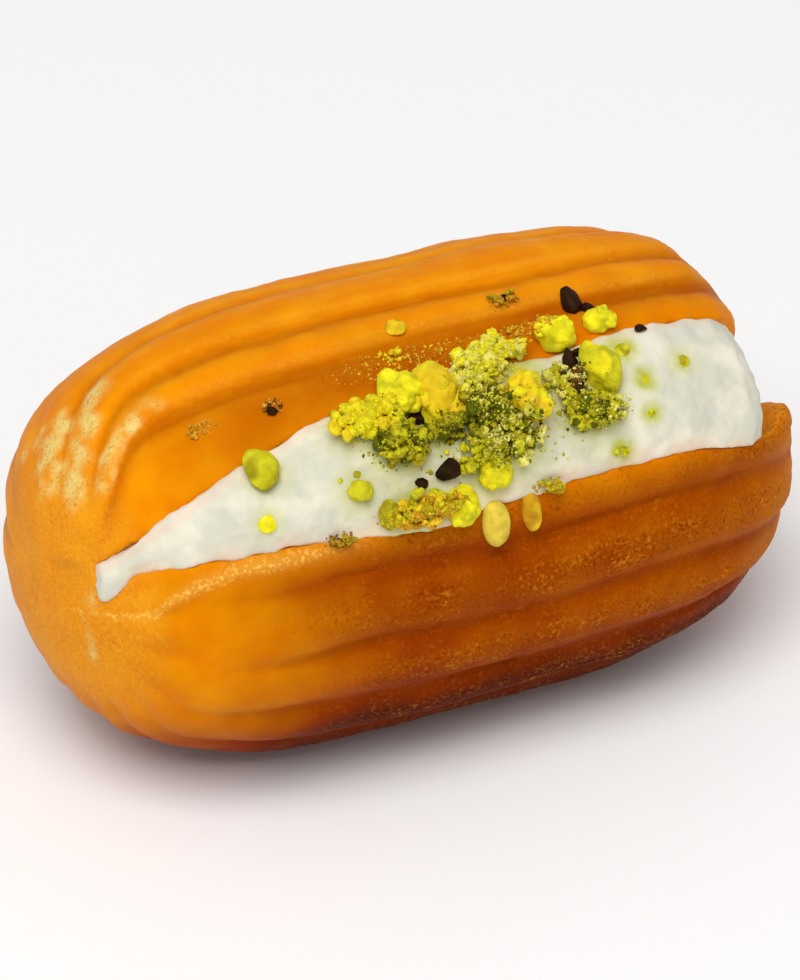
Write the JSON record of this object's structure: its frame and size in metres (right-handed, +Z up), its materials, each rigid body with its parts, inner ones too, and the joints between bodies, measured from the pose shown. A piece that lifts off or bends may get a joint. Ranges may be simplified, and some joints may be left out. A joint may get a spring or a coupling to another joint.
{
  "type": "filled tulumba",
  "caption": "Short ridged stick of syrup-soaked fried dough, slit along its front and filled with white cream, with chopped pistachio.",
  "frame": {"origin": "Bottom centre of the bounding box, on the surface that the pastry rests on.", "axes": "+X along the stick, towards the end where the slit runs out; -Y towards the front, where the slit opens; +Z up."},
  "size_m": [0.0735, 0.0415, 0.041],
  "materials": {
    "fried_dough": "golden fried crust, wet with syrup",
    "cream": "soft whipped cream, faintly moist",
    "pistachio": "chopped nut, yellow-green with dark skins"
  },
  "bodies": {
    "root": {"pastry": "fried_dough", "cream": "cream"}
  },
  "joints": []
}
